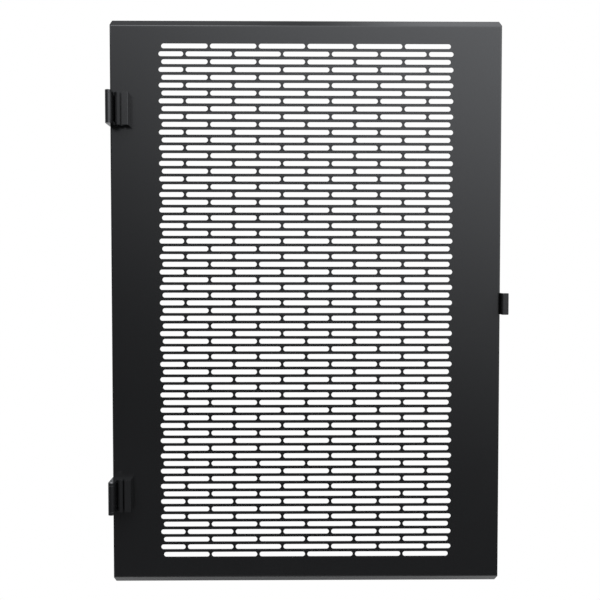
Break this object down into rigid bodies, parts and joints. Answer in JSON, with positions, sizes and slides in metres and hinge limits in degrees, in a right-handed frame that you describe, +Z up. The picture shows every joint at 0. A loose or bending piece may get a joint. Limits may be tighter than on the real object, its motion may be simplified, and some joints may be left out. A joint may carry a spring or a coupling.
{
  "type": "perforated rack door",
  "caption": "Perforated sheet-metal front door for a floor-standing equipment cabinet, with a folded tray edge, knuckle hinges, a finger pull and a magnetic catch.",
  "frame": {"origin": "middle of the lower frame leaf's two mounting holes, on the leaf's outer face", "axes": "+Z up along the hinge line, +X across the door from the hinges to the finger pull, +Y inwards, from the front face into the cabinet"},
  "size_m": [0.615, 0.1003, 0.8849],
  "materials": {
    "panel_coat": "satin black powder coat with a very fine grain",
    "casting_coat": "satin black coat over die-cast metal",
    "leaf_coat": "satin black powder coat",
    "pin_steel": "turned steel",
    "nylon": "black nylon",
    "zinc_plate": "zinc-plated sheet",
    "zinc_screw": "bright zinc plating",
    "black_plastic": "moulded black plastic",
    "magnet_ferrite": "sintered ferrite",
    "bumper_rubber": "soft black rubber",
    "stud_brass": "brass"
  },
  "bodies": {
    "frame_side": {"lower_frame_leaf": "leaf_coat", "upper_frame_leaf": "leaf_coat"},
    "door": {"door_panel": "panel_coat", "left_stiffener": "panel_coat", "right_stiffener": "panel_coat", "upper_door_leaf": "casting_coat", "lower_door_leaf": "casting_coat", "upper_hinge_pin": "pin_steel", "lower_hinge_pin": "pin_steel", "upper_hinge_washers": "nylon", "lower_hinge_washers": "nylon", "upper_backing_plate": "zinc_plate", "lower_backing_plate": "zinc_plate", "upper_leaf_screws": "zinc_screw", "lower_leaf_screws": "zinc_screw", "finger_pull": "panel_coat", "pull_screws": "zinc_screw", "pull_clinch_nuts": "zinc_screw", "catch_housing": "black_plastic", "catch_magnet": "magnet_ferrite", "catch_pole_plates": "zinc_plate", "catch_screws": "zinc_screw", "bumpers": "bumper_rubber", "earth_stud": "stud_brass", "earth_washer": "zinc_screw", "earth_nut": "zinc_screw"}
  },
  "joints": [
    {"name": "door_swing", "type": "hinge", "parent": "frame_side", "child": "door", "pos_m": [0.0048, -0.0835, 0.29725], "axis": [0, 0, 1], "range_deg": [-180, 0]}
  ]
}
